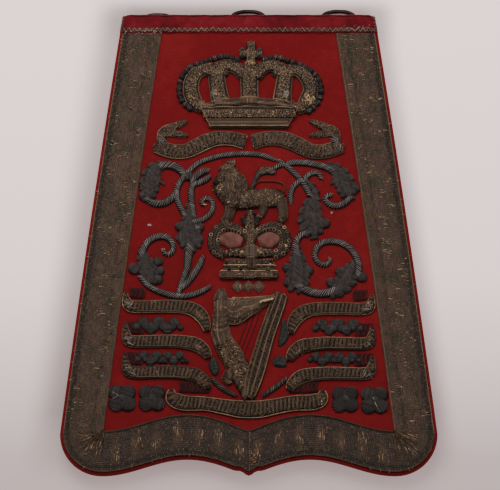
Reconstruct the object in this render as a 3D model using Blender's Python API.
"""A hussar officer's full-dress sabretache, lying on its back with its embroidered flap up.

X runs to the right across the flap, Y towards its top binding and Z out of its face. The table is
at Z = 0, and the tables below are in millimetres.
"""

import math

import bmesh
import bpy
from mathutils import Matrix, Vector

MM = 0.001
GAP = 0.3

# Layers, from the table up
POCKET_WALL = 1.8
POCKET_INSIDE = 8.0
BOARD = 2.8
CLOTH = 1.4
LACE = 1.2
BINDING = 1.5

POCKET_TOP = 2 * POCKET_WALL + POCKET_INSIDE
BOARD_LOW = POCKET_TOP + GAP
BOARD_HIGH = BOARD_LOW + BOARD
CLOTH_LOW = BOARD_HIGH + GAP
CLOTH_HIGH = CLOTH_LOW + CLOTH
TRIM_LOW = CLOTH_HIGH + GAP

# The flap's outline
FLAP_TOP = 173.5
TOP_HALF = 94.9
BOTTOM_HALF = 138.5
SIDE_BOW = 1.1
CORNER_RADIUS = 31.0
LOBE_LOW = -181.2
CREST_X = 45.0
CREST_Y = -168.8
TIP_Y = -181.7
CORNER_Y = LOBE_LOW + CORNER_RADIUS
LOBE_X = BOTTOM_HALF - CORNER_RADIUS
LAYERS_TOP = FLAP_TOP - BINDING - 0.5

# The lace round the sides and the hem
LACE_MARGIN = 2.2
LACE_REACH = 31.7
HEM_REACH = 32.0

# The binding over the top
BINDING_FRONT = 158.4
BINDING_BACK = 161.0
BINDING_ROUND = 3.0

# The pocket behind the flap
POCKET_LOW = -105.0
POCKET_MOUTH = 98.0
POCKET_SLOPE = (108.0, 130.0)
POCKET_HALF_TOP = 87.0
POCKET_HALF_LOW = 98.0
POCKET_ROUND = 22.0

# The three sling rings and the leather chapes that hold them
BAR_Z = 6.0
WIRE_RADIUS = 1.6
RING_HALF = 13.4
RING_SIDE = 14.0
RING_REACH = 23.8
RING_BEND = 2.6
RING_DROOP = math.radians(-10.2)
CHAPE_HALF = 9.5
CHAPE_LEATHER = 1.6
CHAPE_LOW = 136.0
CHAPE_FOLD = 6.7

SLINGS = (
    # name, x, bar y
    ("left", -69.0, 154.0),
    ("middle", -0.5, 156.7),
    ("right", 67.9, 156.7),
)

# How far each kind of embroidery stands above the cloth
VINE_HIGH = 3.0
LEAF_HIGH = 3.4
SCROLL_HIGH = 2.4
CROWN_HIGH = 4.6
PEARL_HIGH = 4.2
LION_HIGH = 5.6
HARP_HIGH = 4.6
CUSHION_HIGH = 3.4

ROUND_PROFILE = ((-1.0, 0.0), (-0.72, 0.72), (0.0, 1.0), (0.72, 0.72), (1.0, 0.0))
FLAT_PROFILE = ((-1.0, 0.0), (-0.8, 0.88), (0.0, 1.0), (0.8, 0.88), (1.0, 0.0))
WIDE_PROFILE = ((-1.0, 0.0), (-0.96, 0.92), (0.0, 1.0), (0.96, 0.92), (1.0, 0.0))

# Every band below is a list of rows: x, y, half width

UPPER_SCROLL = [
    (3.6, 72.0, 6.2),
    (13.8, 74.4, 6.2),
    (25.5, 74.3, 6.2),
    (33.0, 72.2, 6.4),
    (39.5, 68.8, 6.2),
    (46.5, 65.8, 5.5),
    (54.0, 64.9, 5.4),
    (62.0, 66.5, 5.6),
    (69.5, 69.5, 4.8),
]
UPPER_FOLD = [(68.2, 66.8, 2.4), (66.4, 71.5, 3.7), (65.6, 75.6, 3.8)]
UPPER_TAIL = [(67.2, 73.8, 3.0), (65.8, 79.3, 4.1), (60.8, 82.0, 4.1), (56.7, 82.3, 3.8)]
UPPER_PRONGS = (
    [(60.0, 83.8, 2.4), (53.2, 86.7, 1.9), (46.2, 89.4, 0.7)],
    [(60.0, 79.9, 2.3), (52.4, 78.6, 1.7), (45.4, 77.4, 0.6)],
)

SIDE_SCROLL = [
    # measured from the scroll's own middle line
    (91.0, 12.0, 0.9),
    (90.8, 7.0, 2.4),
    (89.0, 1.4, 4.2),
    (83.5, -0.3, 4.5),
    (70.0, 0.0, 4.6),
    (56.0, 0.1, 4.7),
    (45.5, -0.9, 4.9),
]
LONG_TAIL = [(38.6, -3.8, 5.2), (34.5, -8.6, 4.2), (32.8, -14.0, 2.4), (32.0, -19.0, 0.7)]
SHORT_TAIL = [(39.0, -2.8, 4.9), (34.6, -6.0, 3.4), (32.0, -9.4, 2.0), (30.4, -12.2, 0.7)]
SIDE_SCROLLS = (
    # name, side, middle line y, lift of the outer end, tail
    ("scroll_left_1", -1, -54.2, 0.9, LONG_TAIL),
    ("scroll_left_2", -1, -80.7, 1.15, SHORT_TAIL),
    ("scroll_left_3", -1, -104.0, 1.15, SHORT_TAIL),
    ("scroll_right_1", 1, -55.9, 0.9, LONG_TAIL),
    ("scroll_right_2", 1, -82.3, 1.05, SHORT_TAIL),
    ("scroll_right_3", 1, -105.0, 1.05, SHORT_TAIL),
)

BOTTOM_SCROLL = [
    (-56.8, -117.4, 1.8),
    (-55.9, -123.6, 5.2),
    (-48.0, -127.2, 5.7),
    (-32.0, -127.9, 5.1),
    (-18.0, -130.2, 5.6),
    (-6.0, -132.0, 6.4),
    (8.0, -132.0, 6.4),
    (20.0, -129.8, 5.8),
    (34.0, -127.4, 5.7),
    (47.0, -126.8, 5.8),
    (53.2, -123.8, 5.2),
    (54.4, -118.2, 1.8),
]

VINES_LEFT = {
    "over the lion": [(-46, 48.5, 2.0), (-37, 56.5, 1.9), (-22, 61.6, 1.9), (-7, 63.5, 1.9), (6, 63.0, 1.9),
                      (13.6, 61.2, 1.8), (19.6, 58.6, 1.5)],
    "top curl": [(-47, 46, 2.4), (-52.8, 52.2, 2.9), (-59, 54.6, 3.0), (-66.5, 54.4, 3.4)],
    "top curl's tail": [(-76, 28.5, 2.4), (-72.5, 26, 2.7), (-67.5, 24.8, 2.8), (-62, 25.7, 2.7),
                        (-57, 29.4, 2.6), (-53.8, 33.5, 2.0)],
    "outer stem": [(-48, 46, 2.0), (-52.7, 38.7, 2.2), (-53.6, 31, 2.2), (-51.9, 24.5, 2.2),
                   (-47.5, 15.5, 2.0)],
    "inner stem": [(-41, 15, 2.2), (-42.4, 25, 2.3), (-43, 33, 2.3), (-41.3, 43, 2.2)],
    "upper finger": [(-43, 42, 2.0), (-38.6, 46.8, 2.6), (-34, 49.6, 2.6), (-30, 50.3, 1.6)],
    "lower finger": [(-41.5, 39.3, 1.8), (-35, 42.1, 2.3), (-31.4, 43.8, 2.1), (-28.8, 46, 1.4)],
    "small spiral": [(-41.5, 11, 2.0), (-36.3, 11.8, 2.0), (-32, 14, 2.0), (-28.7, 17.3, 2.0),
                     (-26.8, 21.8, 1.9), (-27, 26, 1.8), (-29.8, 28.6, 1.8), (-33, 28.6, 1.8),
                     (-35, 26.2, 1.7), (-34, 23.8, 1.6)],
    "stem to the crossing": [(-43.6, -8, 3.6), (-45.1, -17.5, 3.0), (-45.8, -24, 2.6), (-48, -31, 2.2),
                             (-52.5, -45, 1.6)],
    "stem to the crown": [(-51, -41, 2.0), (-45.7, -35.9, 2.5), (-40.6, -29, 2.6), (-36.4, -22.1, 2.4),
                          (-33.8, -16.4, 1.6)],
    "lower bow": [(-80, -31.5, 2.0), (-76.1, -36.6, 2.2), (-70.8, -40.5, 2.2), (-64.2, -43.4, 2.2),
                  (-56.8, -45.6, 2.2), (-49.4, -46.4, 2.2), (-42, -45.2, 2.2), (-34.6, -42.4, 2.1),
                  (-28.8, -39.0, 1.6)],
    "lower spiral": [(-80, -15.2, 2.6), (-77.7, -9.1, 2.6), (-74.8, -4.6, 2.6), (-70.3, -1.5, 2.5),
                     (-65.2, -0.3, 2.4), (-60.7, -1.4, 2.3), (-57.3, -4.4, 2.2), (-56, -8.3, 2.1),
                     (-56.8, -12, 2.0), (-59.6, -14, 1.9), (-62.4, -13.4, 1.8), (-63.2, -10.8, 1.6)],
}
LEAVES_LEFT = {
    "top leaf": [(-65.5, 54.4, 3.6), (-71.3, 50.5, 5.8), (-73.8, 43, 7.0), (-74.3, 35, 6.0),
                 (-76, 27.8, 3.2)],
    "top leaf's tongue": [(-72, 44.5, 4.0), (-67.5, 42.8, 2.8), (-63.4, 39.8, 0.8)],
    "middle leaf": [(-43.3, 23, 3.2), (-44, 16, 4.2), (-45, 9, 6.0), (-43.6, 1.5, 8.6), (-43, -4.5, 7.6),
                    (-43.6, -10, 4.0)],
    "lower leaf": [(-80, -11.5, 2.6), (-77.8, -18, 4.8), (-74.6, -26, 6.6), (-73, -33, 5.2),
                   (-75.5, -37.5, 2.2)],
}
KNOBS_LEFT = [
    # x, y, radius
    (-46.2, 46.6, 4.2),
    (-79.2, 38.2, 2.6),
    (-79.0, 30.6, 3.0),
    (-51.4, 7.0, 3.4),
    (-50.6, -1.6, 3.6),
    (-36.6, 6.4, 3.4),
    (-37.4, -3.6, 3.4),
    (-85.0, -25.2, 4.4),
    (-67.2, -19.8, 3.6),
    (-66.0, -27.0, 3.4),
    (-67.0, -33.4, 3.4),
]

VINES_RIGHT = {
    "end of the bow over the lion": [(22.4, 58.4, 1.4), (26.2, 55.4, 1.9), (30.4, 52.2, 2.0)],
    "top stem's foot": [(17.6, 51.6, 1.4), (21.4, 53.8, 1.8), (25.6, 55.2, 1.8)],
    "top stem": [(28.6, 55.6, 2.0), (33.0, 56.6, 2.4), (39.8, 56.6, 2.4), (46.4, 55.8, 2.4),
                 (53.2, 54.4, 2.5), (58.8, 52.5, 2.6), (62.5, 50.2, 2.8)],
    "hook": [(75.8, 29.5, 2.2), (70.8, 25, 2.4), (65, 23.1, 2.4), (60, 24.5, 2.3), (57.2, 27.9, 2.2),
             (58.6, 30.9, 1.9), (61.6, 31.4, 1.6)],
    "middle stem": [(28, 54.2, 1.8), (33.2, 49.2, 2.1), (38.4, 43.8, 2.1), (42.4, 37.8, 2.1),
                    (45.6, 31.0, 2.2)],
    "stem by the lion": [(38.8, 42.6, 1.9), (33.6, 38.4, 2.1), (31.6, 33.6, 2.0), (31.0, 28.6, 1.7),
                         (31.2, 24.6, 1.0)],
    "small curl": [(40.4, 42.4, 1.8), (43.6, 46.2, 2.0), (47.8, 48.6, 2.0), (52.2, 48.0, 1.9),
                   (54.0, 44.4, 1.6)],
    "stem to the crown": [(46.0, 3.4, 1.9), (40.6, 1.4, 2.1), (36.4, -2.0, 2.3), (35.2, -7.4, 2.6),
                          (35.6, -13.6, 3.4)],
    "lower bow": [(36.4, -38.2, 3.0), (40.8, -40.8, 3.2), (46, -43, 3.2), (51.9, -44.1, 3.1),
                  (57.8, -43.7, 3.1), (63, -42, 3.0)],
    "big spiral": [(81, -30.5, 2.6), (81.2, -20.6, 2.6), (76.8, -11.6, 2.5), (70, -6.2, 2.4),
                   (62.5, -4.3, 2.3), (54.6, -5.4, 2.2), (50.2, -9.8, 2.1), (49, -15.2, 2.0),
                   (50.8, -19.8, 1.9), (55, -22.2, 1.8), (59.2, -21, 1.8), (60.4, -17.8, 1.6)],
}
LEAVES_RIGHT = {
    "top leaf": [(59.8, 54.2, 3.1), (65.8, 50.5, 5.2), (70.2, 43.5, 7.1), (73.1, 35.8, 6.3),
                 (75.3, 28.8, 3.3)],
    "top leaf's tongue": [(69.5, 44.5, 4.0), (65.5, 42.6, 2.8), (61, 40.2, 0.8)],
    "tongue": [(42.8, 43, 1.8), (46.8, 38.0, 2.8), (49.8, 33.0, 3.0), (51.2, 28.0, 2.0)],
    "middle leaf": [(49.0, 30.0, 2.8), (47.0, 23.4, 7.0), (45.9, 16.5, 8.9), (46.2, 9.5, 8.9),
                    (47.8, 3.4, 6.2), (48.6, -1.3, 2.6)],
    "lower leaf": [(35.4, -8.0, 2.8), (35.6, -14.3, 4.5), (36.5, -22.0, 7.0), (36.4, -29.6, 8.5),
                   (35.9, -36.5, 7.6), (38.6, -41.1, 3.7)],
    "outer leaf": [(60.8, -45.2, 3.2), (66.0, -41.5, 5.6), (71.2, -35.0, 7.6), (75.0, -28.1, 5.9),
                   (78.0, -21.2, 3.0)],
}
KNOBS_RIGHT = [
    # x, y, radius
    (79.4, 36.8, 3.5),
    (57.0, 9.5, 3.6),
    (28.2, -24.6, 3.2),
    (44.6, -26.6, 3.3),
    (28.9, -35.9, 3.2),
    (67.0, -27.6, 3.2),
    (60.8, -35.9, 3.5),
    (83.6, -31.6, 3.9),
]

LION = {
    "mane": [(-14.5, 52, 4.2), (-14.6, 46, 9.6), (-13, 37.5, 12.6), (-11.5, 29.5, 10.4),
             (-11.5, 22.5, 5.0)],
    "body": [(-12, 27.8, 7.5), (-3, 27.6, 7.4), (7, 28.6, 7.2), (16, 29, 7.4), (23, 27.8, 5.2)],
    "front leg": [(-13, 25, 4.6), (-14.4, 17, 3.8), (-16.2, 12.4, 3.4)],
    "hind leg": [(23.4, 28, 4.6), (25.6, 19.5, 3.6), (25.8, 13.2, 3.0)],
    "inner hind leg": [(11.6, 25, 3.6), (10.4, 19, 2.8), (9.2, 15.2, 2.2)],
    "tail": [(2, 33.5, 1.6), (3.4, 39.5, 1.5), (5.6, 45, 1.5), (8.6, 49.4, 2.6), (13.5, 50.4, 3.0),
             (18.6, 48.2, 1.4)],
    "brush": [(1.6, 36, 1.0), (7, 41.6, 1.0), (14, 42.2, 1.0), (21, 41.8, 1.0), (26, 39.4, 1.0),
              (26.4, 36, 1.0), (24, 31.5, 1.0)],
}
LION_HEAD = [
    # x, y, radius
    (-18.8, 43.6, 6.0),
    (-24.0, 40.6, 2.8),
]
LION_CROWN = [(-18.6, 51.6, 1.6), (-14.6, 54.6, 3.2), (-11.0, 57.0, 2.2)]

SMALL_CROWN = {
    "left arch": [(-19.4, -15.2, 3.2), (-24.6, -10.5, 4.4), (-25.8, -3.2, 4.8), (-23.2, 3.7, 4.4),
                  (-16.9, 6.8, 3.8), (-9.5, 5.5, 3.4), (-3.9, 1.8, 2.6)],
    "right arch": [(18.9, -15.2, 3.2), (25.2, -10.5, 4.4), (26.9, -3.2, 4.6), (24.7, 3.7, 4.4),
                   (18.3, 6.8, 3.8), (11.3, 5.5, 3.3), (6.1, 1.8, 2.6)],
    "left rib": [(-3.6, 3.7, 2.3), (1.2, -5.5, 2.3)],
    "right rib": [(6.4, 3.7, 2.3), (1.4, -5.5, 2.3)],
    "cross": [(0.9, 18.6, 2.2), (0.9, 13.0, 3.4), (0.9, 3.7, 4.0), (1.2, -4.0, 3.0), (1.3, -8.6, 3.7),
              (1.3, -16.4, 4.0)],
    "cross arms": [(-5.4, 10.9, 2.2), (7.6, 10.9, 2.2)],
    "left chips": [(-20.2, -15.0, 1.4), (-13.9, -13.2, 2.6), (-6.5, -13.0, 3.4), (-1.3, -13.0, 4.2)],
    "right chips": [(4.6, -13.0, 4.2), (10.5, -13.0, 3.4), (17.2, -13.4, 2.6), (22.4, -15.0, 1.4)],
}
SMALL_CIRCLET = [
    # middle x, y, half length
    (0.2, -16.2, 16.8),
    (0.3, -20.5, 18.2),
    (0.2, -25.5, 19.6),
    (0.0, -30.5, 21.6),
    (0.0, -33.2, 21.6),
]
CUSHIONS = (
    # name, rows
    ("cushion_left", [(-20.0, -3.7, 2.0), (-16.2, -2.9, 4.4), (-10.6, -3.6, 4.5), (-5.8, -4.8, 3.2)]),
    ("cushion_right", [(8.0, -4.8, 3.2), (12.4, -3.6, 4.5), (17.2, -2.9, 4.4), (21.0, -3.7, 2.0)]),
)

LOZENGE_Y = -38.9
LOZENGE_HALF = 4.4
LOZENGES_X = (-8.2, -0.4, 7.4)

HARP = {
    "pillar": [(-20.9, -47, 4.4), (-20.9, -53, 5.1), (-20.8, -60.7, 5.2), (-20.9, -67.5, 6.0),
               (-20.4, -75.1, 6.7), (-18.3, -81.9, 7.4), (-14.4, -88.4, 8.1), (-10.7, -94.8, 8.0),
               (-7.2, -102.3, 7.3), (-4.2, -109.9, 6.2), (-1.8, -116.7, 4.8), (-0.8, -122.7, 3.4)],
    "wing": [(-19.5, -54.2, 6.4), (-13.1, -57.6, 10.6), (-8.0, -57.0, 10.0), (-2.1, -55.0, 8.0),
             (4.6, -52.6, 5.8), (11.2, -50.2, 3.8), (18.6, -47.9, 2.4), (26.0, -46.0, 1.8)],
    "sounding board": [(23.4, -45.6, 5.0), (21.2, -53.0, 5.5), (18.2, -61.4, 5.7), (15.3, -69.8, 5.8),
                       (12.3, -78.9, 5.9), (9.7, -88.0, 6.1), (7.2, -97.0, 6.4), (4.6, -106.1, 6.3),
                       (2.4, -114.4, 5.5), (0.6, -122.2, 3.8)],
    "foot curl": [(-8.5, -101.0, 3.8), (-13.1, -105.2, 4.4), (-16.6, -109.2, 3.1), (-14.0, -112.4, 1.9)],
}
HARP_HEAD = [(-20.4, -46.6, 4.4)]

BIG_CROWN_ARCHES = {
    "left arch": [(-38.8, 101.4, 4.9), (-42.5, 108.4, 5.8), (-43.4, 114.6, 5.8), (-42.4, 120.9, 5.5),
                  (-38.8, 126.4, 4.8), (-32.9, 129.5, 4.4), (-27.6, 130.7, 4.2)],
    "left rib": [(-20.8, 102.9, 7.0), (-22.7, 112.3, 6.4), (-24.0, 120.9, 6.1), (-23.9, 128.0, 5.6)],
    "left top": [(-26.8, 126.4, 4.2), (-22.4, 130.5, 4.5), (-15.6, 132.1, 4.6), (-9.2, 130.2, 4.5),
                 (-4.0, 124.4, 4.5)],
    "middle rib": [(0.7, 102.9, 6.7), (0.5, 112.3, 6.3), (0.4, 121.7, 6.6), (0.9, 130.0, 5.9)],
    "right top": [(5.4, 123.7, 4.5), (9.9, 129.7, 4.5), (15.9, 132.1, 4.6), (22.9, 130.5, 4.5),
                  (28.1, 125.8, 4.2)],
    "right rib": [(24.9, 102.9, 7.3), (25.6, 112.3, 6.2), (26.8, 120.9, 5.8), (27.2, 127.2, 5.5)],
    "right arch": [(29.4, 129.0, 4.1), (36.4, 128.4, 4.4), (41.8, 124.4, 5.1), (45.5, 118.5, 5.5),
                   (46.3, 112.3, 5.4), (44.0, 105.8, 5.7), (40.4, 100.0, 4.7)],
}
BIG_CROWN_CROSS = {
    "body": [(1.6, 132, 3.6), (1.7, 138, 3.6), (1.7, 149.6, 3.4)],
    "arms": [(-6.4, 141.4, 3.0), (1.6, 141.2, 3.2), (9.4, 141.0, 3.0)],
}
BIG_CROWN_ORB = [(1.2, 132.2, 5.2)]
BIG_CIRCLET = [
    # middle x, y, half length
    (-0.8, 105.2, 31.0),
    (0.9, 99.0, 35.0),
    (0.5, 93.5, 33.0),
    (0.0, 83.6, 28.8),
]
PEARL_RADIUS = 2.9
PEARL_STEP = 5.7
PEARLS_LEFT = [(-44.2, 98.8), (-50.4, 105), (-52.2, 114), (-50, 123.6), (-44, 131.2), (-35, 134.6),
               (-25.6, 138), (-16.6, 139.2), (-8.6, 136.8)]
PEARLS_RIGHT = [(11.8, 136.8), (20, 138.8), (29, 136.4), (38.6, 132.8), (46.6, 128.2), (52.6, 120.8),
                (54.2, 111.8), (51.4, 102.8), (45, 96.6)]

SHAMROCKS = {
    "shamrock_left_upper": [[(-79.6, -68.2, 4.6), (-75.9, -67.7, 6.6), (-70.7, -67.7, 6.9),
                              (-65.4, -68.4, 6.0)],
                             [(-67.0, -68.4, 5.8), (-61.1, -68.0, 6.6), (-56.7, -68.4, 6.1),
                              (-53.3, -69.2, 3.8)]],
    "shamrock_left_lower": [[(-79.0, -93.3, 3.8), (-75.7, -92.9, 5.6), (-70.5, -92.9, 5.8),
                              (-66.1, -93.5, 4.2)]],
    "trefoil_left_lower": [[(-63.3, -95.4, 2.6), (-59.5, -93.4, 4.8), (-55.4, -92.7, 5.7),
                             (-51.4, -93.4, 4.8), (-47.4, -95.4, 2.3)]],
    "leaf_left_of_harp": [[(-26.6, -93.4, 1.4), (-26.0, -98.0, 3.5), (-24.9, -102.8, 2.5),
                            (-24.8, -105.6, 0.8)]],
    "shamrock_right_upper": [[(52.2, -69.8, 4.0), (56.4, -69.0, 6.2), (61.4, -68.9, 6.5),
                               (66.4, -69.5, 5.6)],
                              [(64.8, -69.6, 5.4), (70.8, -69.0, 6.5), (75.6, -69.2, 6.0),
                               (79.6, -69.9, 3.8)]],
    "shamrock_right_lower": [[(47.4, -93.8, 3.2), (50.8, -93.6, 5.2), (55.4, -93.5, 5.6),
                               (60.4, -94.0, 3.9)]],
    "trefoil_right_lower": [[(64.2, -94.2, 3.2), (68.0, -93.7, 5.3), (73.0, -93.6, 5.5),
                              (78.6, -94.4, 3.2)]],
    "leaf_right_of_harp": [[(25.4, -65, 1.4), (26.9, -71, 3.2), (25.8, -77.5, 3.0), (23, -83, 1.2)]],
    "bud_right_of_harp": [[(18.2, -97.4, 2.2), (22, -96, 4.2), (26.6, -96.6, 2.4)]],
}
ROSETTE_EYE = 0.6
PETAL_SPREAD = 0.98
ROSETTES = (
    # name, x, y, petal radius
    ("rosette_left_outer", -93.1, -123.6, 5.9),
    ("rosette_left_inner", -71.2, -123.6, 5.7),
    ("rosette_right_inner", 70.8, -124.4, 5.7),
    ("rosette_right_outer", 92.4, -125.2, 5.9),
)
STEMS = {
    "stem_left_of_harp": [(-26, -110, 1.3), (-19.7, -115.9, 1.8), (-12.4, -120.6, 1.4)],
    "stem_right_of_harp": [(25.6, -110.4, 1.3), (20.6, -114.6, 1.8), (12.4, -121, 1.4)],
}


def clear_scene():
    for obj in list(bpy.data.objects):
        bpy.data.objects.remove(obj, do_unlink=True)


def material(name, colour, roughness, metallic=0.0):
    made = bpy.data.materials.new(name)
    made.use_nodes = True
    shader = made.node_tree.nodes["Principled BSDF"]
    shader.inputs["Base Color"].default_value = (*colour, 1.0)
    shader.inputs["Roughness"].default_value = roughness
    shader.inputs["Metallic"].default_value = metallic
    made.diffuse_color = (*colour, 1.0)
    return made


def add_object(name, bm, finish, sharp_degrees=40.0):
    """The bmesh as an object with outward normals, shaded smooth but for its sharp edges."""
    bmesh.ops.recalc_face_normals(bm, faces=bm.faces)
    mesh = bpy.data.meshes.new(name)
    bm.to_mesh(mesh)
    bm.free()
    mesh.materials.append(finish)
    mesh.shade_smooth()
    mesh.set_sharp_from_angle(angle=math.radians(sharp_degrees))
    obj = bpy.data.objects.new(name, mesh)
    bpy.context.collection.objects.link(obj)
    return obj


def as_helper(obj):
    obj.hide_render = True
    obj.display_type = "WIRE"
    return obj


def boolean(obj, other, operation):
    step = obj.modifiers.new(f"{operation.lower()} {other.name}", "BOOLEAN")
    step.operation = operation
    step.solver = "EXACT"
    step.object = other
    as_helper(other)


def smooth_curve(rows, step):
    """Rows of numbers joined by a smooth curve, with a row about every step millimetres."""
    ends = [rows[0]] + list(rows) + [rows[-1]]
    made = []
    for before, start, end, after in zip(ends, ends[1:], ends[2:], ends[3:]):
        count = max(1, round(math.dist(start[:2], end[:2]) / step))
        for i in range(count):
            t = i / count
            row = []
            for a, b, c, d in zip(before, start, end, after):
                bend = 2 * a - 5 * b + 4 * c - d + t * (3 * (b - c) + d - a)
                row.append(b + 0.5 * t * (c - a + t * bend))
            made.append(row)
    made.append(list(rows[-1]))
    return made


def mirrored(rows, side):
    return [(side * row[0], *row[1:]) for row in rows]


def prism(outline, low, high):
    """A flat outline of x and y, raised between two heights."""
    bm = bmesh.new()
    face = bm.faces.new([bm.verts.new((x * MM, y * MM, low * MM)) for x, y in outline])
    raised = bmesh.ops.extrude_face_region(bm, geom=[face])["geom"]
    moved = [v for v in raised if isinstance(v, bmesh.types.BMVert)]
    bmesh.ops.translate(bm, verts=moved, vec=(0, 0, (high - low) * MM))
    return bm


def side_prism(profile, half_at):
    """A profile of y and z, drawn out to both sides as far as half_at(y)."""
    bm = bmesh.new()
    face = bm.faces.new([bm.verts.new((-half_at(y) * MM, y * MM, z * MM)) for y, z in profile])
    drawn = bmesh.ops.extrude_face_region(bm, geom=[face])["geom"]
    for vert in drawn:
        if isinstance(vert, bmesh.types.BMVert):
            vert.co.x = -vert.co.x
    return bm


def band(rows, height, profile=ROUND_PROFILE, step=5.0):
    """A padded band along rows of x, y and half width, flat underneath and domed on top."""
    samples = smooth_curve(rows, step)
    bm = bmesh.new()
    rings = []
    for i, (x, y, half) in enumerate(samples):
        before = samples[max(i - 1, 0)]
        after = samples[min(i + 1, len(samples) - 1)]
        along = Vector((after[0] - before[0], after[1] - before[1])).normalized()
        ring = []
        for across, up in profile:
            px = x - along.y * across * half
            py = y + along.x * across * half
            ring.append(bm.verts.new((px * MM, py * MM, (TRIM_LOW + up * height) * MM)))
        rings.append(ring)
    loops = [[bm.edges.new((a, b)) for a, b in zip(ring, ring[1:] + ring[:1])] for ring in rings]
    for first, second in zip(loops, loops[1:]):
        bmesh.ops.bridge_loops(bm, edges=first + second)
    for loop in (loops[0], loops[-1]):
        bmesh.ops.edgeloop_fill(bm, edges=loop)
    return bm


def dome(x, y, radius, height, sides=6):
    """A knob, flat underneath."""
    bm = bmesh.new()
    bmesh.ops.create_uvsphere(bm, u_segments=sides, v_segments=4, radius=radius * MM)
    whole = bm.verts[:] + bm.edges[:] + bm.faces[:]
    cut = bmesh.ops.bisect_plane(bm, geom=whole, plane_co=(0, 0, -0.001 * MM), plane_no=(0, 0, 1),
                                 clear_inner=True)
    rim = [edge for edge in cut["geom_cut"] if isinstance(edge, bmesh.types.BMEdge)]
    bmesh.ops.edgeloop_fill(bm, edges=rim)
    bmesh.ops.scale(bm, verts=bm.verts, vec=(1, 1, height / radius))
    bmesh.ops.translate(bm, verts=bm.verts, vec=(x * MM, y * MM, TRIM_LOW * MM))
    return bm


def fused(name, pieces, finish):
    """Padded pieces that one outline holds together, joined into one solid."""
    first = add_object(name, pieces[0], finish)
    others = bpy.data.collections.new(f"{name} pieces")
    bpy.context.scene.collection.children.link(others)
    for number, bm in enumerate(pieces[1:], 2):
        piece = as_helper(add_object(f"{name} piece {number}", bm, finish))
        bpy.context.collection.objects.unlink(piece)
        others.objects.link(piece)
    union = first.modifiers.new("join the pieces", "BOOLEAN")
    union.operation = "UNION"
    union.solver = "EXACT"
    union.operand_type = "COLLECTION"
    union.collection = others
    return first


def side_x(y):
    """The flap's half width at a height y."""
    t = (FLAP_TOP - y) / (FLAP_TOP - CORNER_Y)
    return TOP_HALF + (BOTTOM_HALF - TOP_HALF) * t + SIDE_BOW * 4 * t * (1 - t)


def hem_y(x):
    """The waved lower edge: a lobe at each corner, a crest at each side and a point in the middle."""
    x = abs(x)
    if x > CREST_X:
        t = min((LOBE_X - x) / (LOBE_X - CREST_X), 1.0)
        return LOBE_LOW + (CREST_Y - LOBE_LOW) * (1 - math.cos(math.pi * max(t, 0.0))) / 2
    t = (CREST_X - x) / CREST_X
    return CREST_Y + (TIP_Y - CREST_Y) * (1 - math.cos(math.pi / 2 * t))


def right_edge(top, inset=0.0):
    """The right half of the flap's edge, from the top down to the point, moved inwards by inset."""
    points = []
    for i in range(7):
        y = top + (CORNER_Y - top) * i / 7
        points.append((side_x(y) - inset, y))
    radius = CORNER_RADIUS - inset
    for i in range(8):
        turn = math.pi / 2 * i / 7
        points.append((LOBE_X + radius * math.cos(turn), CORNER_Y - radius * math.sin(turn)))
    for i in range(1, 17):
        x = LOBE_X * (1 - i / 16)
        points.append((x, hem_y(x) + inset))
    return points


def flap_outline(top, inset=0.0):
    right = right_edge(top, inset)
    return right + [(-x, y) for x, y in reversed(right[:-1])]


def make_pocket(finish):
    """A back panel up to the binding, a gusset round three sides and a front panel, open at the top."""
    slope_low, slope_high = POCKET_SLOPE
    sheet_low = POCKET_TOP - POCKET_WALL
    lean = POCKET_WALL * 0.38
    profile = [
        (POCKET_LOW, 0.0),
        (slope_low, 0.0),
        (slope_high, sheet_low),
        (LAYERS_TOP, sheet_low),
        (LAYERS_TOP, POCKET_TOP),
        (slope_high - lean, POCKET_TOP),
        (slope_low - lean, POCKET_WALL),
        (POCKET_LOW, POCKET_WALL),
    ]
    back = add_object("pocket_back", side_prism(profile, lambda y: POCKET_HALF_LOW + 10), finish, 30)
    room = 30.0
    plan = add_object("pocket outline", prism(pocket_outline(0.0, LAYERS_TOP + room), -room, room), finish)
    boolean(back, plan, "INTERSECT")

    outside = pocket_outline(0.0, POCKET_MOUTH)
    inside = pocket_outline(POCKET_WALL, POCKET_MOUTH + room)
    gusset = add_object("pocket_gusset", prism(outside, POCKET_WALL + GAP, sheet_low - GAP), finish, 30)
    boolean(gusset, add_object("pocket hollow", prism(inside, -room, room), finish), "DIFFERENCE")
    add_object("pocket_front", prism(outside, sheet_low, POCKET_TOP), finish, 30)


def pocket_outline(inset, top):
    """The pocket seen from the front: slightly wider towards its rounded bottom."""
    slope = (POCKET_HALF_LOW - POCKET_HALF_TOP) / (POCKET_MOUTH - POCKET_LOW)
    corner_y = POCKET_LOW + POCKET_ROUND
    radius = POCKET_ROUND - inset
    right = []
    for y in (top, corner_y):
        right.append((POCKET_HALF_TOP + slope * (POCKET_MOUTH - y) - inset, y))
    middle = right[-1][0] - radius
    for i in range(1, 7):
        turn = math.pi / 2 * i / 6
        right.append((middle + radius * math.cos(turn), corner_y - radius * math.sin(turn)))
    return right + [(-x, y) for x, y in reversed(right)]


def make_flap(leather, cloth):
    add_object("flap_board", prism(flap_outline(LAYERS_TOP, CLOTH + GAP), BOARD_LOW, BOARD_HIGH), leather)
    face = add_object("cloth_face", prism(flap_outline(LAYERS_TOP), BOARD_LOW + 0.4, CLOTH_HIGH), cloth)
    room = 8.0
    under = prism(flap_outline(LAYERS_TOP + room, CLOTH), BOARD_LOW - room, CLOTH_LOW)
    boolean(face, add_object("cloth turned under", under, cloth), "DIFFERENCE")


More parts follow.
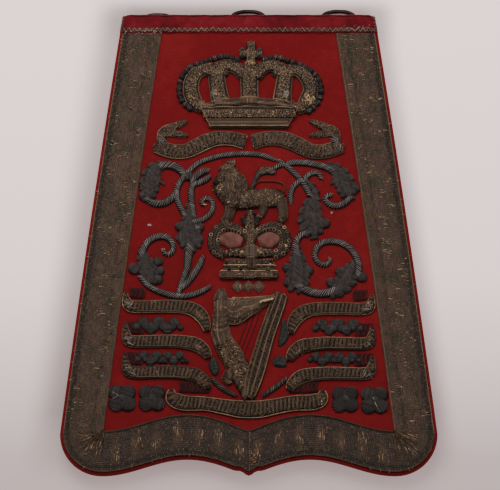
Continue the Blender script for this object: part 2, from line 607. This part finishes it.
def make_lace(finish):
    top = BINDING_FRONT - GAP
    outer = right_edge(top, LACE_MARGIN)
    mitre = GAP / 2
    outer[-1] = (mitre, outer[-1][1])
    inner = [(mitre, hem_y(0.0) + HEM_REACH)]
    inner_corner = side_x(CORNER_Y) - LACE_REACH
    for i in range(1, 13):
        x = inner_corner * i / 12
        inner.append((x, hem_y(x) + HEM_REACH))
    corner_y = inner[-1][1]
    for i in range(1, 7):
        y = corner_y + (top - corner_y) * i / 6
        inner.append((side_x(y) - LACE_REACH, y))
    outline = outer + inner
    for name, side in (("lace_left", -1), ("lace_right", 1)):
        add_object(name, prism(mirrored(outline, side), TRIM_LOW, TRIM_LOW + LACE), finish)


def make_binding(finish):
    """The leather strip folded over the flap's top edge, round at its two outer corners."""
    back_high = POCKET_TOP - POCKET_WALL - GAP
    back_low = back_high - BINDING
    front_high = TRIM_LOW + BINDING
    inner = LAYERS_TOP + GAP
    profile = [(BINDING_FRONT, TRIM_LOW), (inner, TRIM_LOW), (inner, back_high), (BINDING_BACK, back_high),
               (BINDING_BACK, back_low)]
    centre_y = FLAP_TOP - BINDING_ROUND
    for centre_z, start in ((back_low + BINDING_ROUND, -90), (front_high - BINDING_ROUND, 0)):
        for i in range(5):
            turn = math.radians(start + 90 * i / 4)
            profile.append((centre_y + BINDING_ROUND * math.cos(turn),
                            centre_z + BINDING_ROUND * math.sin(turn)))
    profile.append((BINDING_FRONT, front_high))
    add_object("top_binding", side_prism(profile, side_x), finish, 30)


def make_sling(name, x, bar_y, leather, metal):
    """A leather chape stitched behind the flap's top, and the metal ring that turns in it."""
    outside = WIRE_RADIUS + GAP + CHAPE_LEATHER
    strap_high = POCKET_TOP - POCKET_WALL - GAP
    strap_low = strap_high - 2 * CHAPE_LEATHER
    profile = [(CHAPE_LOW, strap_low), (CHAPE_LOW, strap_high), (bar_y, strap_high)]
    loop_start, loop_end, loop_steps = math.radians(80), math.radians(-115), 10
    for i in range(loop_steps + 1):
        turn = loop_start + (loop_end - loop_start) * i / loop_steps
        profile.append((bar_y + outside * math.cos(turn), BAR_Z + outside * math.sin(turn)))
    profile.append((bar_y - CHAPE_FOLD, strap_low))
    chape = add_object(f"chape_{name}", side_prism(profile, lambda y: CHAPE_HALF), leather, 30)
    chape.data.transform(Matrix.Translation((x * MM, 0, 0)))
    bore = bmesh.new()
    turned = Matrix.Rotation(math.radians(90), 4, "Y")
    placed = Matrix.Translation((x * MM, bar_y * MM, BAR_Z * MM)) @ turned
    bore_radius = (WIRE_RADIUS + GAP) * MM
    bmesh.ops.create_cone(bore, cap_ends=True, segments=16, radius1=bore_radius, radius2=bore_radius,
                          depth=CHAPE_HALF * 4 * MM, matrix=placed)
    boolean(chape, add_object(f"chape bore {name}", bore, leather), "DIFFERENCE")
    add_ring(name, (x * MM, bar_y * MM, BAR_Z * MM), metal)


def add_ring(name, bar, metal):
    """A bent wire ring: a straight bar, two short sides and a shallow bow, with its origin on the bar."""
    path = [(-RING_HALF + 2 * RING_HALF * i / 3, 0.0) for i in range(4)]
    bow_steps = 12
    for i in range(bow_steps + 1):
        turn = math.pi * i / bow_steps
        across = RING_HALF * math.copysign(abs(math.cos(turn)) ** (2 / RING_BEND), math.cos(turn))
        reach = (RING_REACH - RING_SIDE) * math.sin(turn) ** (2 / RING_BEND)
        path.append((across, RING_SIDE + reach))
    curve = bpy.data.curves.new(f"sling_ring_{name}", "CURVE")
    curve.dimensions = "3D"
    curve.bevel_depth = WIRE_RADIUS * MM
    curve.bevel_resolution = 2
    spline = curve.splines.new("POLY")
    spline.points.add(len(path) - 1)
    for point, (across, reach) in zip(spline.points, path):
        point.co = (across * MM, reach * MM, 0.0, 1.0)
    spline.use_cyclic_u = True
    curve.materials.append(metal)
    ring = bpy.data.objects.new(f"sling_ring_{name}", curve)
    ring.location = bar
    ring.rotation_euler = (RING_DROOP, 0.0, 0.0)
    bpy.context.collection.objects.link(ring)


def bands_of(table, height, profile=ROUND_PROFILE, step=5.0):
    return [band(rows, height, profile, step) for rows in table.values()]


def domes_of(table, height):
    return [dome(x, y, radius, height) for x, y, radius in table]


def make_scrolls(finish):
    for name, side in (("upper_scroll_left", -1), ("upper_scroll_right", 1)):
        pieces = [
            band(mirrored(UPPER_SCROLL, side), SCROLL_HIGH, FLAT_PROFILE, 7.0),
            band(mirrored(UPPER_FOLD, side), SCROLL_HIGH * 0.8),
            band(mirrored(UPPER_TAIL, side), SCROLL_HIGH * 0.9, FLAT_PROFILE),
        ]
        pieces += [band(mirrored(rows, side), SCROLL_HIGH * 0.8) for rows in UPPER_PRONGS]
        fused(name, pieces, finish)
    for name, side, middle, lift, tail in SIDE_SCROLLS:
        rows = [(side * x, middle + (y * lift if y > 2 else y), half) for x, y, half in SIDE_SCROLL + tail]
        add_object(name, band(rows, SCROLL_HIGH, FLAT_PROFILE, 7.0), finish)
    add_object("scroll_bottom", band(BOTTOM_SCROLL, SCROLL_HIGH, FLAT_PROFILE, 7.0), finish)


def make_foliage(finish):
    left = bands_of(LEAVES_LEFT, LEAF_HIGH) + bands_of(VINES_LEFT, VINE_HIGH, step=7.0)
    fused("foliage_left", left + domes_of(KNOBS_LEFT, LEAF_HIGH * 0.9), finish)
    right = bands_of(LEAVES_RIGHT, LEAF_HIGH) + bands_of(VINES_RIGHT, VINE_HIGH, step=7.0)
    fused("foliage_right", right + domes_of(KNOBS_RIGHT, LEAF_HIGH * 0.9), finish)


def make_lion(finish):
    pieces = [band(LION["mane"], LION_HIGH, step=6.0), band(LION["body"], LION_HIGH * 0.85, step=6.0)]
    for part in ("front leg", "hind leg", "inner hind leg"):
        pieces.append(band(LION[part], LION_HIGH * 0.7))
    for part in ("tail", "brush"):
        pieces.append(band(LION[part], VINE_HIGH * 0.8, step=5.5))
    pieces += domes_of(LION_HEAD, LION_HIGH * 1.05)
    pieces.append(band(LION_CROWN, LION_HIGH * 0.75))
    fused("lion", pieces, finish)


def make_small_crown(metal_thread, velvet):
    pieces = bands_of(SMALL_CROWN, CROWN_HIGH * 0.85, step=6.5)
    pieces.append(band(SMALL_CIRCLET, CROWN_HIGH, WIDE_PROFILE))
    fused("small_crown", pieces, metal_thread)
    for name, rows in CUSHIONS:
        add_object(name, band(rows, CUSHION_HIGH, step=4.0), velvet)


def make_lozenge_row(finish):
    pieces = []
    for x in LOZENGES_X:
        bm = bmesh.new()
        bmesh.ops.create_cone(bm, cap_ends=True, segments=4, radius1=LOZENGE_HALF * MM,
                              radius2=LOZENGE_HALF * 0.3 * MM, depth=SCROLL_HIGH * MM)
        middle = (x * MM, LOZENGE_Y * MM, (TRIM_LOW + SCROLL_HIGH / 2) * MM)
        bmesh.ops.translate(bm, verts=bm.verts, vec=middle)
        pieces.append(bm)
    fused("lozenge_row", pieces, finish)


def make_big_crown(finish):
    pieces = [band(BIG_CIRCLET, CROWN_HIGH, WIDE_PROFILE)]
    pieces += bands_of(BIG_CROWN_ARCHES, CROWN_HIGH * 0.9, FLAT_PROFILE, 7.0)
    pieces += bands_of(BIG_CROWN_CROSS, CROWN_HIGH * 0.85, FLAT_PROFILE, 8.0)
    pieces += domes_of(BIG_CROWN_ORB, CROWN_HIGH * 1.15)
    for chain in (PEARLS_LEFT, PEARLS_RIGHT):
        for x, y in smooth_curve(chain, PEARL_STEP):
            pieces.append(dome(x, y, PEARL_RADIUS, PEARL_HIGH))
    fused("big_crown", pieces, finish)


def make_harp(finish, stem_finish):
    pieces = bands_of(HARP, HARP_HIGH, step=6.0) + domes_of(HARP_HEAD, HARP_HIGH)
    fused("harp", pieces, finish)
    for name, rows in STEMS.items():
        add_object(name, band(rows, VINE_HIGH * 0.8), stem_finish)


def make_shamrocks(finish):
    for name, leaves in SHAMROCKS.items():
        fused(name, [band(rows, LEAF_HIGH * 0.8, step=4.0) for rows in leaves], finish)
    for name, x, y, radius in ROSETTES:
        pieces = [dome(x, y, radius * ROSETTE_EYE, LEAF_HIGH)]
        away = radius * PETAL_SPREAD
        for i in range(4):
            turn = math.radians(45 + 90 * i)
            petal_x, petal_y = x + away * math.cos(turn), y + away * math.sin(turn)
            pieces.append(dome(petal_x, petal_y, radius, LEAF_HIGH * 0.85, 8))
        fused(name, pieces, finish)


def main():
    clear_scene()
    leather = material("red morocco", (0.19, 0.015, 0.02), 0.5)
    cloth = material("scarlet broadcloth", (0.27, 0.012, 0.016), 0.9)
    lace = material("tarnished lace", (0.11, 0.085, 0.06), 0.55, 0.5)
    bullion = material("tarnished gold bullion", (0.16, 0.1, 0.055), 0.45, 0.7)
    silver = material("tarnished silver thread", (0.075, 0.085, 0.08), 0.45, 0.6)
    velvet = material("faded velvet", (0.4, 0.1, 0.09), 0.95)
    metal = material("dark brass", (0.07, 0.06, 0.045), 0.4, 0.9)
    make_pocket(leather)
    make_flap(leather, cloth)
    make_lace(lace)
    make_binding(leather)
    for name, x, bar_y in SLINGS:
        make_sling(name, x, bar_y, leather, metal)
    make_big_crown(bullion)
    make_scrolls(bullion)
    make_foliage(silver)
    make_lion(bullion)
    make_small_crown(bullion, velvet)
    make_lozenge_row(bullion)
    make_harp(bullion, silver)
    make_shamrocks(silver)


main()
